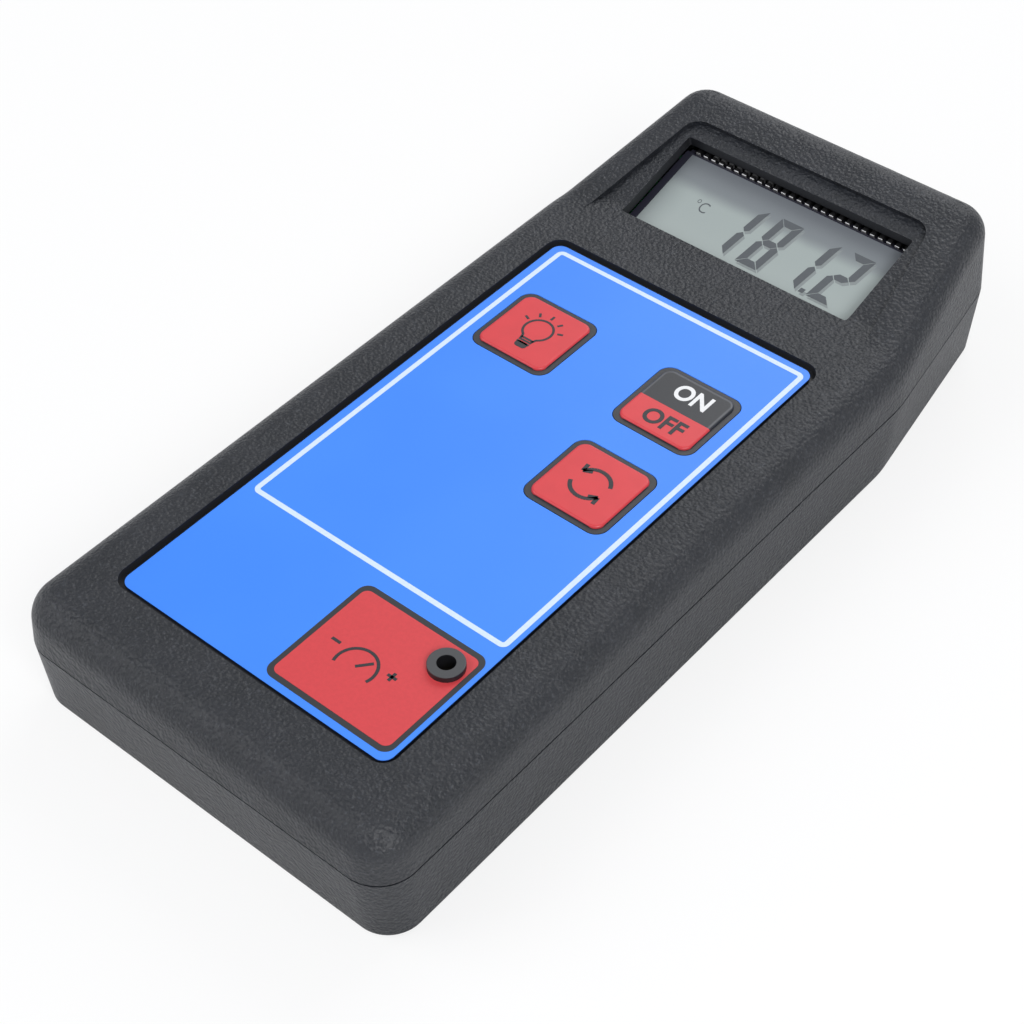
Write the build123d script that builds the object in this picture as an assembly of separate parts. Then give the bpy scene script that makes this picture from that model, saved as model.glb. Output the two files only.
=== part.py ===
from build123d import *
from math import cos, radians, sin, tan
import os

# Handheld salinity meter, in millimetres.
# X runs across the case, Y from the battery end towards the display, Z up from the back face.
# The origin is on the back face, in the middle of the case.

# Case outline, measured on the parting plane between the two shells
case_length = 174.0
case_width = 80.0
body_height = 23.8
parting_height = 14.2
wall = 2.0
near_corner_radius = 7.0
far_corner_radius = 6.0
base_corner_radius = 6.2
top_edge_round = 5.7
base_edge_round = 0.5

# Display head: where the case narrows and where its top face bends upwards
narrowing_start = 134.0
base_narrowing_start = 130.5
head_narrowing = 9.2
narrowing_round = 25.0
head_start = 134.8
head_tilt = 14.6
head_bend_round = 14.0

# Draft angles of the shell walls, in degrees from the vertical
side_draft_up = 3.4
near_draft_up = 4.6
far_draft_up = 4.3
side_draft_down = 1.2
near_draft_down = 4.9
far_draft_down = 2.2

# Joint between the shells
shadow_gap = 0.35
shadow_gap_depth = 0.55
lip_width = 0.9
lip_height = 1.4
lip_clearance = 0.1

# Front panel and its recess
panel_width = 57.0
panel_length = 109.3
panel_near_margin = 13.7
panel_thickness = 0.8
panel_corner_radius = 2.0
recess_gap = 1.0
recess_depth = 1.5
recess_floor = 1.7

# Keys
key_size = 16.8
key_corner_radius = 2.4
key_clearance = 0.15
key_skirt = 0.5
key_crown = 0.5
key_crown_inset = 0.95
key_crown_round = 0.45
key_travel = 0.25
key_column = 15.7
key_row_far = 100.75
key_pitch = 23.4
stem_radius = 1.5
stem_hole_radius = 1.9

# Calibration bush over the trimmer
bush_x = 23.2
bush_y = 33.3
bush_radius = 3.05
bush_height = 1.2
bush_bore_radius = 1.55
bush_sleeve_radius = 2.3
bush_clearance = 0.05

# Display window in the head, counted up the slope from where the head starts
window_width = 50.2
window_bottom = 2.4
window_height = 21.4
window_corner_radius = 0.5
window_wall = 2.2
bezel_depth = 1.0
bezel_backing = 1.5
bezel_backing_start = -2.0
bezel_half_width = 30.9
bezel_top = 27.6
bezel_corner_radius = 3.5

# Display
glass_width = 51.0
glass_height = 24.8
glass_top = 24.5
glass_plate = 1.1
glass_ledge = 1.5
glass_gap = 1.2
film_width = 47.7
film_top = 22.5
film_height = 21.4
film_thickness = 0.2
pin_pitch = 1.8
pin_count = 27
pin_width = 0.9
pin_sheet = 0.25
pin_curl = 0.9
backlight_thickness = 3.0
backlight_margin = 0.6

# Circuit boards
board_thickness = 1.6
main_board_top = 14.6
main_board_half_width = 34.0
main_board_near = 67.5
main_board_far = 128.0
main_board_leg_near = 22.0
main_board_leg_inside = 17.6
display_board_half_width = 31.3
display_board_bottom = -5.0
display_board_top = 25.0
post_radius = 2.4
board_screw_radius = 1.0
board_screw_head_radius = 1.9
board_screw_head = 1.3
board_screw_bite = 4.0
thread_clearance = 0.05

# Key switches
switch_size = 6.0
switch_body_height = 3.5
plunger_radius = 1.75
plunger_height = 1.8
plunger_stand = 1.0
plunger_clearance = 0.06

# Trimmer
trimmer_size = 7.0
trimmer_height = 4.2
rotor_radius = 1.7
rotor_stand = 0.6
rotor_depth = 1.5
rotor_clearance = 0.06
rotor_slot_width = 0.6
rotor_slot_depth = 0.5

# Battery and its compartment
battery_width = 26.5
battery_length = 48.5
battery_thickness = 17.5
battery_near = 11.0
battery_floor = 2.6
battery_corner_radius = 2.0
battery_side_gap = 0.45
stud_spacing = 12.7
stud_radius = 2.85
socket_stud_radius = 4.1
stud_height = 2.9
snap_thickness = 5.2
snap_width = 25.4
snap_depth = 12.4
snap_clearance = 0.1
compartment_wall = 1.2
compartment_rise = 17.0
lead_notch_floor = 6.0
lead_notch_width = 6.0
lead_radius = 0.6

# Battery door
door_near = 8.4
door_far = 64.8
door_half_width = 14.1
door_gap = 0.3
door_ledge = 1.1
door_skin = 1.0
door_set_in = 0.2
door_inner_thickness = 1.1
door_hinge_gap = 0.1
door_swing_room = 3.2
tongue_width = 5.0
tongue_spacing = 16.0
tongue_reach = 3.0
tongue_thickness = 1.0
tongue_root = 1.2
latch_width = 9.0
latch_slot = 1.0
latch_rise = 3.6
latch_bump = 0.35
grip_ribs = 5
grip_rib_pitch = 1.8

# Case screws
screw_near = 9.0
screw_near_x = 32.4
screw_far = 166.0
screw_far_x = 27.3
boss_radius = 3.5
screw_radius = 1.45
screw_hole_radius = 1.65
screw_length = 15.0
screw_head_radius = 2.7
screw_head_height = 2.0
counterbore_radius = 3.0
counterbore_depth = 3.2

# Probe socket in the far end
socket_height = 7.4
socket_bore_radius = 1.8
socket_barrel_radius = 3.0
socket_hole_clearance = 0.08
socket_pocket_radius = 5.6
socket_pocket_depth = 2.5
socket_boss_radius = 6.4
socket_nut_radius = 4.2
socket_nut_thickness = 1.9
socket_body_width = 9.0
socket_body_height = 8.4
socket_body_length = 12.0
socket_bore_length = 13.0

# Places worked out from the sizes above
near_end = -case_length / 2
far_end = case_length / 2
recess_bottom = body_height - recess_depth
panel_top = recess_bottom + panel_thickness
floor_underside = recess_bottom - recess_floor
panel_middle = near_end + panel_near_margin + panel_length / 2
main_board_bottom = main_board_top - board_thickness
key_top_row = near_end + key_row_far
key_places = {
    "light": (-key_column, key_top_row),
    "power": (key_column, key_top_row),
    "mode": (key_column, key_top_row - key_pitch),
}
bush_place = (bush_x, near_end + bush_y)
glass_face = -(bezel_depth + window_wall + glass_gap)
glass_back = glass_face - 2 * glass_plate
display_board_face = glass_back - backlight_thickness
head_plane = Plane(
    origin=(0, near_end + head_start, body_height),
    x_dir=(1, 0, 0),
    z_dir=(0, -sin(radians(head_tilt)), cos(radians(head_tilt))),
)
screw_places = [
    (side * x, near_end + y)
    for x, y in ((screw_near_x, screw_near), (screw_far_x, screw_far))
    for side in (-1, 1)
]
main_post_places = [
    (-30.0, near_end + main_board_near + 4.0),
    (28.5, near_end + main_board_near - 7.0),
    (-30.0, near_end + main_board_far - 4.0),
    (30.0, near_end + main_board_far - 4.0),
    (28.5, near_end + main_board_leg_near + 4.0),
]
display_post_places = [(side * 28.9, v) for side in (-1, 1) for v in (1.5, 20.5)]


def block(x0, x1, y0, y1, z0, z1):
    """A box between two corners."""
    return Pos((x0 + x1) / 2, (y0 + y1) / 2, (z0 + z1) / 2) * Box(x1 - x0, y1 - y0, z1 - z0)


def post(place, radius, z0, z1):
    """A round post standing between two heights."""
    return Pos(place[0], place[1], (z0 + z1) / 2) * Cylinder(radius, z1 - z0)


def pill(width, length, radius, height):
    """A plate with rounded corners, standing on the XY plane."""
    return extrude(RectangleRounded(width, length, radius), amount=height)


def in_head(shape):
    """Move a shape from the head's own axes to the case."""
    return head_plane.location * shape


def outline(half_width, near, far, start, near_radius, far_radius):
    """The case seen from above, with its narrowing head."""
    far_half_width = half_width - (far - start) * tan(radians(head_narrowing))
    corners = [
        (-half_width, near), (half_width, near), (half_width, start),
        (far_half_width, far), (-far_half_width, far), (-half_width, start),
    ]
    face = make_face(Polyline(*corners, close=True))
    face = fillet(face.vertices().filter_by(lambda v: abs(v.Y - near) < 0.001), near_radius)
    face = fillet(face.vertices().filter_by(lambda v: abs(v.Y - far) < 0.001), far_radius)
    return fillet(face.vertices().filter_by(lambda v: abs(v.Y - start) < 0.001), narrowing_round)


def parting_outline(inset=0.0):
    face = outline(
        case_width / 2, near_end, far_end, near_end + narrowing_start,
        near_corner_radius, far_corner_radius,
    )
    return offset(face, amount=-inset) if inset else face


def upper_outline(rise, inset):
    """The outline a given height above the parting plane, pulled in by the draft."""
    face = outline(
        case_width / 2 - rise * tan(radians(side_draft_up)),
        near_end + rise * tan(radians(near_draft_up)),
        far_end - rise * tan(radians(far_draft_up)),
        near_end + narrowing_start, near_corner_radius, far_corner_radius,
    )
    return offset(face, amount=-inset) if inset else face


def base_outline(inset):
    face = outline(
        case_width / 2 - parting_height * tan(radians(side_draft_down)),
        near_end + parting_height * tan(radians(near_draft_down)),
        far_end - parting_height * tan(radians(far_draft_down)),
        near_end + base_narrowing_start, base_corner_radius, base_corner_radius,
    )
    return offset(face, amount=-inset) if inset else face


def top_cut(inset):
    """Everything under the top face: level over the body, then rising over the head."""
    reach = far_end + wall
    drop = inset / cos(radians(head_tilt))
    level = body_height - inset
    bend = near_end + head_start + inset * tan(radians(head_tilt / 2))
    rise = body_height - drop + (reach - near_end - head_start) * tan(radians(head_tilt))
    side = [(near_end - wall, 0), (reach, 0), (reach, rise), (bend, level), (near_end - wall, level)]
    face = make_face(Polyline(*side, close=True))
    bends = face.vertices().filter_by(lambda v: abs(v.X - bend) < 0.001 and v.Y > 0.001)
    face = fillet(bends, head_bend_round + inset)
    return extrude(Plane.YZ * face, amount=case_width, both=True)


def rim_edges(faces):
    """The edges that only one of the faces has."""
    found = {}
    for face in faces:
        for edge in face.edges():
            middle = edge.position_at(0.5)
            key = (round(middle.X, 3), round(middle.Y, 3), round(middle.Z, 3))
            found.setdefault(key, []).append(edge)
    return [edges[0] for edges in found.values() if len(edges) == 1]


def upper_form(inset=0.0):
    """The solid form above the parting plane, or the hollow inside it."""
    head_rise = (case_length - head_start) * tan(radians(head_tilt))
    rise = body_height + head_rise + wall - parting_height
    low = Plane.XY.offset(parting_height) * parting_outline(inset)
    high = Plane.XY.offset(parting_height + rise) * upper_outline(rise, inset)
    form = loft([low, high], ruled=True) & top_cut(inset)
    tops = form.faces().filter_by(lambda f: f.normal_at().Z > cos(radians(head_tilt + 5)))
    return fillet(rim_edges(tops), top_edge_round - inset)


def lower_form(inset=0.0):
    low = Plane.XY * base_outline(inset)
    high = Plane.XY.offset(parting_height) * parting_outline(inset)
    form = loft([low, high], ruled=True)
    if inset:
        return form - block(-case_width, case_width, near_end, far_end, 0, inset)
    return fillet(form.edges().group_by(Axis.Z)[0], base_edge_round)


def hanging_post(place, radius, bottom):
    """A post from the inside of the top shell down to a height, cut off by the shell's skin."""
    column = post(place, radius, bottom, body_height + case_width / 4)
    return column & top_cut(wall / 2)


def window_outline():
    middle = window_bottom + window_height / 2
    return Pos(0, middle) * RectangleRounded(window_width, window_height, window_corner_radius)


def bezel_outline(bottom, margin=0.0):
    """The area around the window that lies lower than the rest of the head."""
    slope = tan(radians(head_narrowing))
    top = bezel_top + margin
    low = bezel_half_width + margin - bottom * slope
    high = bezel_half_width + margin - top * slope
    corners = [(-low, bottom), (low, bottom), (high, top), (-high, top)]
    face = make_face(Polyline(*corners, close=True))
    ends = face.vertices().filter_by(lambda v: abs(v.Y - top) < 0.001)
    return fillet(ends, bezel_corner_radius + margin)


def bezel_pocket():
    """The shallow step around the window, which runs out where the head meets the body."""
    floor = Plane.XY.offset(-bezel_depth) * bezel_outline(-head_bend_round)
    pocket = extrude(floor, amount=10 * bezel_depth)
    above_body = block(
        -case_width, case_width, near_end, far_end, body_height, body_height + case_width / 2
    )
    return in_head(pocket) & above_body


def bezel_plate():
    """The thicker skin under the bezel, down to the foot of the window's walls."""
    depth = bezel_depth + window_wall
    foot = Plane.XY.offset(-depth) * bezel_outline(bezel_backing_start, bezel_backing)
    return in_head(extrude(foot, amount=depth)) & top_cut(wall / 2)


def top_posts():
    """The screw bosses and the posts for both boards, before their holes."""
    posts = [hanging_post(place, boss_radius, parting_height) for place in screw_places]
    posts += [hanging_post(place, post_radius, main_board_top) for place in main_post_places]
    for x, v in display_post_places:
        rise = -display_board_face
        column = in_head(Pos(x, v, display_board_face + rise / 2) * Cylinder(post_radius, rise))
        posts.append(column & top_cut(wall / 2))
    return posts


def top_pilots():
    """The screw holes in those posts."""
    holes = []
    for place in screw_places:
        depth = counterbore_depth + screw_length + 1
        holes.append(post(place, screw_radius + thread_clearance, parting_height - 1, depth))
    pilot = board_screw_radius + thread_clearance
    depth = board_screw_bite + 0.5
    for place in main_post_places:
        holes.append(post(place, pilot, main_board_top - 1, main_board_top + depth))
    for x, v in display_post_places:
        middle = display_board_face + depth / 2 - 0.5
        holes.append(in_head(Pos(x, v, middle) * Cylinder(pilot, depth + 1)))
    return holes


def top_shell():
    shell = upper_form() - upper_form(wall)
    backing = Pos(0, panel_middle, floor_underside) * pill(
        panel_width + 2 * (recess_gap + wall), panel_length + 2 * (recess_gap + wall),
        panel_corner_radius + recess_gap + wall, body_height - floor_underside,
    )
    shell = shell + (backing & top_cut(wall / 2)) + bezel_plate()
    for piece in top_posts():
        shell += piece
    shell -= Pos(0, panel_middle, recess_bottom) * pill(
        panel_width + 2 * recess_gap, panel_length + 2 * recess_gap,
        panel_corner_radius + recess_gap, 2 * recess_depth,
    )
    shell -= bezel_pocket()
    reach = 2 * (bezel_depth + window_wall)
    shell -= in_head(extrude(Plane.XY.offset(-reach) * window_outline(), amount=2 * reach))
    for place in key_places.values():
        shell -= post(place, stem_hole_radius, floor_underside - 1, body_height)
    shell -= post(bush_place, bush_sleeve_radius + bush_clearance, floor_underside - 1, body_height)
    for hole in top_pilots():
        shell -= hole
    rise = lip_height + lip_clearance
    rebate = Plane.XY.offset(parting_height) * parting_outline(wall - lip_width - lip_clearance)
    kept = Plane.XY.offset(parting_height) * parting_outline(wall + lip_width)
    return shell - (extrude(rebate, amount=rise) - extrude(kept, amount=rise))


def bottom_shell():
    shell = lower_form() - lower_form(wall)
    lip = extrude(
        Plane.XY.offset(parting_height - wall) * parting_outline(wall - lip_width),
        amount=wall + lip_height,
    ) - extrude(
        Plane.XY.offset(parting_height - wall) * parting_outline(wall),
        amount=wall + lip_height,
    )
    gap = extrude(
        Plane.XY.offset(parting_height - shadow_gap) * parting_outline(-wall), amount=shadow_gap
    ) - extrude(
        Plane.XY.offset(parting_height - shadow_gap) * parting_outline(shadow_gap_depth),
        amount=shadow_gap,
    )
    shell = shell + lip - gap
    boss = Pos(0, far_end - socket_pocket_depth - wall, socket_height) * (
        Rot(-90, 0, 0) * Cylinder(socket_boss_radius, 2 * wall, align=(Align.CENTER, Align.CENTER, Align.MIN))
    )
    shell += boss & lower_form()
    inner_x = battery_width / 2 + battery_side_gap
    outer_x = inner_x + compartment_wall
    far_y = near_end + door_far + door_gap
    for side in (-1, 1):
        low, high = sorted((side * inner_x, side * outer_x))
        shell += block(low, high, near_end + door_near, far_y + compartment_wall, wall / 2, compartment_rise)
    far_wall = block(-outer_x, outer_x, far_y, far_y + compartment_wall, wall / 2, compartment_rise)
    lead_notch = block(
        -lead_notch_width / 2, lead_notch_width / 2, far_y - 1, far_y + compartment_wall + 1,
        lead_notch_floor, compartment_rise + 1,
    )
    near_wall = block(
        -outer_x, outer_x, near_end + door_near, near_end + door_near + compartment_wall,
        wall + door_swing_room, compartment_rise,
    )
    shell = shell + (far_wall - lead_notch) + near_wall
    for place in screw_places:
        shell += post(place, boss_radius, wall / 2, parting_height)
    shell -= door_opening()
    for place in screw_places:
        shell -= post(place, screw_hole_radius, -1, parting_height + 1)
        shell -= post(place, counterbore_radius, -1, counterbore_depth)
    pocket_y = far_end - socket_pocket_depth
    pocket = Rot(-90, 0, 0) * Cylinder(
        socket_pocket_radius, 2 * wall + socket_pocket_depth, align=(Align.CENTER, Align.CENTER, Align.MIN)
    )
    hole = Rot(-90, 0, 0) * Cylinder(socket_barrel_radius + socket_hole_clearance, 8 * wall)
    shell -= Pos(0, pocket_y, socket_height) * pocket
    shell -= Pos(0, pocket_y, socket_height) * hole
    return shell


def door_opening():
    """Cuts for the battery door: its seat, the way in and the thumb scoop."""
    near = near_end + door_near
    far = near_end + door_far
    seat = block(
        -door_half_width - door_ledge - door_gap, door_half_width + door_ledge + door_gap,
        near, far + door_ledge + door_gap, -1, door_set_in + door_skin + 0.05,
    )
    way_in = block(-door_half_width - door_gap, door_half_width + door_gap, near, far + door_gap, -1, wall + 0.5)
    notch = block(-latch_width / 2 - door_gap, latch_width / 2 + door_gap, far - 3, far + 2 * door_ledge, -1, wall + 0.5)
    scoop = Pos(0, far + door_ledge + 1.0, -2.2) * Sphere(6.0)
    return seat + way_in + (notch & seat) + (scoop & block(-10, 10, near, far + 10, -1, 1.1))


def battery_door():
    near = near_end + door_near + door_hinge_gap
    far = near_end + door_far
    half = door_half_width + door_ledge
    top = door_set_in + door_skin
    skin = block(-half, half, near, far + door_ledge, door_set_in, top)
    inner = block(-door_half_width, door_half_width, near + 0.2, far, top, top + door_inner_thickness)
    door = skin + inner
    pocket = block(
        -door_half_width + 1.2, door_half_width - 1.2, near + 3.0, far - latch_rise,
        top, top + door_inner_thickness + 1,
    )
    door -= pocket
    for step in range(3):
        y = near + 14.0 + 14.0 * step
        door += block(-door_half_width + 1, door_half_width - 1, y, y + 1.0, top, top + door_inner_thickness)
    for side in (-1, 1):
        x = side * tongue_spacing / 2
        low = wall + door_hinge_gap
        door += block(
            x - tongue_width / 2, x + tongue_width / 2, near - tongue_reach, near + tongue_root,
            low, low + tongue_thickness,
        )
        door += block(
            x - tongue_width / 2, x + tongue_width / 2, near + door_hinge_gap, near + tongue_root,
            top, low + tongue_thickness / 2,
        )
    door += block(-latch_width / 2, latch_width / 2, far - 1.4, far - 0.2, top, top + latch_rise)
    bump = Pos(0, far - 0.2, wall + 0.8) * (Rot(0, 90, 0) * Cylinder(latch_bump, latch_width))
    door += bump
    for side in (-1, 1):
        x = side * (latch_width / 2 + latch_slot / 2)
        door -= block(x - latch_slot / 2, x + latch_slot / 2, far - 9.0, far - 0.2, -1, top + latch_rise)
    for rib in range(grip_ribs):
        y = far - 8.0 + grip_rib_pitch * rib
        door -= block(-latch_width / 2 + 1, latch_width / 2 - 1, y, y + 0.8, door_set_in - 1, door_set_in + 0.4)
    return door


def front_panel():
    panel = Pos(0, panel_middle, recess_bottom) * pill(
        panel_width, panel_length, panel_corner_radius, panel_thickness
    )
    for x, y in key_places.values():
        hole = pill(
            key_size + 2 * key_clearance, key_size + 2 * key_clearance,
            key_corner_radius + key_clearance, 3 * panel_thickness,
        )
        panel -= Pos(x, y, recess_bottom - panel_thickness) * hole
    return panel - post(bush_place, bush_sleeve_radius + bush_clearance, recess_bottom - 1, panel_top + 1)


def key(place):
    """A key pad: a square skirt level with the panel, a raised crown and a stem underneath."""
    skirt_bottom = panel_top - key_skirt
    skirt = pill(key_size, key_size, key_corner_radius, key_skirt)
    crown_size = key_size - 2 * key_crown_inset
    crown = pill(crown_size, crown_size, key_corner_radius - key_crown_inset / 2, key_crown)
    crown = fillet(crown.edges().group_by(Axis.Z)[-1], key_crown_round)
    pad = Pos(place[0], place[1], skirt_bottom) * (skirt + Pos(0, 0, key_skirt) * crown)
    plunger_top = main_board_top + switch_body_height + plunger_stand
    return pad + post(place, stem_radius, plunger_top, skirt_bottom + key_skirt / 2)


def plunger(place):
    top = main_board_top + switch_body_height + plunger_stand
    return post(place, plunger_radius, top - plunger_height, top)


def key_switch(place):
    """A square push switch with its four feet on the board."""
    x, y = place
    half = switch_size / 2
    body = block(x - half, x + half, y - half, y + half, main_board_top, main_board_top + switch_body_height)
    well = plunger_height - plunger_stand + 2 * key_travel
    top = main_board_top + switch_body_height
    body -= post(place, plunger_radius + plunger_clearance, top - well, top + 1)
    for side in (-1, 1):
        for step in (-1, 1):
            foot_x = x + side * (half + 0.5)
            foot_y = y + step * 2.25
            body += block(
                foot_x - 0.6, foot_x + 0.6, foot_y - 0.35, foot_y + 0.35,
                main_board_top, main_board_top + 0.4,
            )
    return body


def calibration_bush():
    collar = post(bush_place, bush_radius, panel_top, panel_top + bush_height)
    collar = fillet(collar.edges().group_by(Axis.Z)[-1], 0.15)
    sleeve = post(bush_place, bush_sleeve_radius, floor_underside, panel_top)
    return collar + sleeve - post(bush_place, bush_bore_radius, floor_underside - 1, body_height + 4)


def trimmer_body():
    x, y = bush_place
    half = trimmer_size / 2
    top = main_board_top + trimmer_height
    body = block(x - half, x + half, y - half, y + half, main_board_top, top)
    body = chamfer(body.edges().group_by(Axis.Z)[-1], 0.4)
    return body - post(bush_place, rotor_radius + rotor_clearance, top - rotor_depth - 0.1, top + 1)


def trimmer_rotor():
    top = main_board_top + trimmer_height + rotor_stand
    rotor = post(bush_place, rotor_radius, main_board_top + trimmer_height - rotor_depth, top)
    x, y = bush_place
    slot = block(
        x - rotor_slot_width / 2, x + rotor_slot_width / 2, y - 2 * rotor_radius, y + 2 * rotor_radius,
        top - rotor_slot_depth, top + 1,
    )
    return rotor - slot


def main_board():
    half = main_board_half_width
    near = near_end + main_board_near
    board = block(-half, half, near, near_end + main_board_far, main_board_bottom, main_board_top)
    board += block(
        main_board_leg_inside, half - 1.5, near_end + main_board_leg_near, near + 1,
        main_board_bottom, main_board_top,
    )
    for place in main_post_places:
        board -= post(place, board_screw_radius + 0.1, main_board_bottom - 1, main_board_top + 1)
    return board


def converter_chip():
    """The forty-leg chip that measures and drives the display."""
    y = near_end + main_board_far - 9.0
    z = main_board_top + 0.5
    chip = block(-26, 26, y - 6.8, y + 6.8, z, z + 3.6)
    for side in (-1, 1):
        for step in range(20):
            x = -24.13 + 2.54 * step
            low, high = sorted((y + side * 6.7, y + side * 7.5))
            chip += block(x - 0.3, x + 0.3, low, high, main_board_top, z + 1.8)
    return chip


def amplifier_chip():
    y = near_end + main_board_near + 12.0
    z = main_board_top + 0.5
    chip = block(-18.8, -9.2, y - 3.2, y + 3.2, z, z + 3.4)
    for side in (-1, 1):
        for step in range(4):
            x = -17.81 + 2.54 * step
            low, high = sorted((y + side * 3.1, y + side * 3.9))
            chip += block(x - 0.3, x + 0.3, low, high, main_board_top, z + 1.7)
    return chip


def capacitors():
    """Three electrolytic capacitors beside the amplifier."""
    cans = []
    for x, y, radius in ((-25.5, 84.0, 2.5), (-25.5, 91.0, 2.5), (0.0, 84.0, 3.15)):
        can = post((x, near_end + y), radius, main_board_top, main_board_top + 5.4)
        cans.append(fillet(can.edges().group_by(Axis.Z)[-1], 0.4))
    return Compound(children=cans)


def crystal():
    x, y = 0.0, near_end + 100.0
    can = Pos(x, y, main_board_top) * extrude(SlotOverall(11.0, 4.7), amount=3.5)
    return fillet(can.edges().group_by(Axis.Z)[-1], 0.3)


def head_box(x0, x1, v0, v1, w0, w1):
    """A box in the head's axes: across, up the slope and out of its face."""
    return in_head(block(x0, x1, v0, v1, w0, w1))


def lcd_glass():
    """Two glass plates; the rear one stands out at both long edges to carry the pins."""
    half = glass_width / 2
    bottom = glass_top - glass_height
    front = head_box(
        -half, half, bottom + glass_ledge, glass_top - glass_ledge, glass_face - glass_plate, glass_face
    )
    return front + head_box(-half, half, bottom, glass_top, glass_back, glass_face - glass_plate)


def lcd_film():
    """The polarising film on the front of the glass."""
    half = film_width / 2
    return head_box(-half, half, film_top - film_height, film_top, glass_face, glass_face + film_thickness)


def lcd_pins():
    """Clip pins along the top and bottom edges of the glass, with their legs on the board."""
    pins = []
    front = glass_face - glass_plate
    curl = front + pin_curl
    for edge, side in ((glass_top, 1), (glass_top - glass_height, -1)):
        for step in range(pin_count):
            x = (step - (pin_count - 1) / 2) * pin_pitch
            half = pin_width / 2
            low, high = sorted((edge - side * glass_ledge * 0.7, edge + side * 2 * pin_sheet))
            jaw = block(x - half, x + half, low, high, front, curl)
            tip = jaw.edges().filter_by(Axis.X).group_by(Axis.Z)[-1]
            jaw = fillet(tip, pin_curl / 3)
            low, high = sorted((edge, edge + side * 2 * pin_sheet))
            leg = block(x - half, x + half, low, high, display_board_face, front + pin_sheet)
            pins.append(in_head(jaw + leg))
    return Compound(children=pins)


def backlight():
    half = glass_width / 2 - backlight_margin
    bottom = glass_top - glass_height + backlight_margin
    return head_box(-half, half, bottom, glass_top - backlight_margin, display_board_face, glass_back)


def display_board():
    back = display_board_face - board_thickness
    board = block(
        -display_board_half_width, display_board_half_width,
        display_board_bottom, display_board_top, back, display_board_face,
    )
    for x, v in display_post_places:
        board -= Pos(x, v, back) * Cylinder(board_screw_radius + 0.1, 4 * board_thickness)
    return in_head(board)


def board_screw():
    """A small pan-head screw, pointing up, with the underside of its head on the XY plane."""
    head = Pos(0, 0, -board_screw_head / 2) * Cylinder(board_screw_head_radius, board_screw_head)
    head = fillet(head.edges().group_by(Axis.Z)[0], 0.4)
    length = board_thickness + board_screw_bite
    shank = Pos(0, 0, length / 2) * Cylinder(board_screw_radius, length)
    slot = block(-0.25, 0.25, -3, 3, -2 * board_screw_head, -board_screw_head + 0.5)
    return head + shank - slot


def board_screws():
    screws = [Pos(x, y, main_board_bottom) * board_screw() for x, y in main_post_places]
    back = display_board_face - board_thickness
    screws += [in_head(Pos(x, v, back) * board_screw()) for x, v in display_post_places]
    return Compound(children=screws)


def case_screws():
    screws = []
    for place in screw_places:
        z = counterbore_depth
        head = post(place, screw_head_radius, z - screw_head_height, z)
        head = fillet(head.edges().group_by(Axis.Z)[0], 0.7)
        shank = post(place, screw_radius, z, z + screw_length)
        shank = chamfer(shank.edges().group_by(Axis.Z)[-1], 0.8)
        x, y = place
        cross = block(x - 1.5, x + 1.5, y - 0.3, y + 0.3, 0, z - screw_head_height + 0.9)
        cross += block(x - 0.3, x + 0.3, y - 1.5, y + 1.5, 0, z - screw_head_height + 0.9)
        screws.append(head + shank - cross)
    return Compound(children=screws)


def battery():
    """A nine-volt block, lying flat, with its two snap studs towards the display."""
    near = near_end + battery_near
    body = Pos(0, near, battery_floor + battery_thickness / 2) * (
        Rot(-90, 0, 0) * extrude(
            RectangleRounded(battery_width, battery_thickness, battery_corner_radius), amount=battery_length
        )
    )
    far = near + battery_length
    for side, radius in ((-1, stud_radius), (1, socket_stud_radius)):
        stud = Rot(-90, 0, 0) * Cylinder(radius, stud_height, align=(Align.CENTER, Align.CENTER, Align.MIN))
        body += Pos(side * stud_spacing / 2, far, battery_floor + battery_thickness / 2) * stud
    return body


def battery_snap():
    """The snap-on cap that takes the battery's studs."""
    face = near_end + battery_near + battery_length + snap_clearance
    middle = battery_floor + battery_thickness / 2
    cap = block(
        -snap_width / 2, snap_width / 2, face, face + snap_thickness,
        middle - snap_depth / 2, middle + snap_depth / 2,
    )
    cap = fillet(cap.edges().filter_by(Axis.Y), 2.0)
    for side, radius in ((-1, stud_radius), (1, socket_stud_radius)):
        well = Rot(-90, 0, 0) * Cylinder(radius + 0.1, 2 * stud_height + 0.2)
        cap -= Pos(side * stud_spacing / 2, face, middle) * well
    return cap


def lead(points, bend):
    """A wire along straight runs joined by arcs."""
    path = FilletPolyline(*points, radius=bend)
    start = Plane(origin=path @ 0, z_dir=path % 0)
    return sweep(start * Circle(lead_radius), path=path)


def battery_leads():
    cap = near_end + battery_near + battery_length + snap_clearance + snap_thickness
    middle = battery_floor + battery_thickness / 2
    wires = []
    for x in (-1.4, 1.4):
        points = [(x, cap, middle - 4), (x, cap + 7.0, middle - 4), (x, cap + 7.0, main_board_bottom)]
        wires.append(lead(points, 1.6))
    return Compound(children=wires)


def ribbon_cable():
    """The flat cable that joins the two boards from below."""
    under = in_head(Pos(0, 8.0, display_board_face - board_thickness - 0.3) * Sphere(0.01)).center()
    start = in_head(Pos(0, 1.0, display_board_face - board_thickness - 0.3) * Sphere(0.01)).center()
    z = main_board_bottom - 0.3
    y = near_end + main_board_far
    points = [(y - 8.0, z), (y + 1.0, z), (y + 5.5, z - 3.2), (start.Y, start.Z), (under.Y, under.Z)]
    path = FilletPolyline(*points, radius=1.2)
    return extrude(Plane.YZ * trace(path, 0.6), amount=11.0, both=True)


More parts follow.
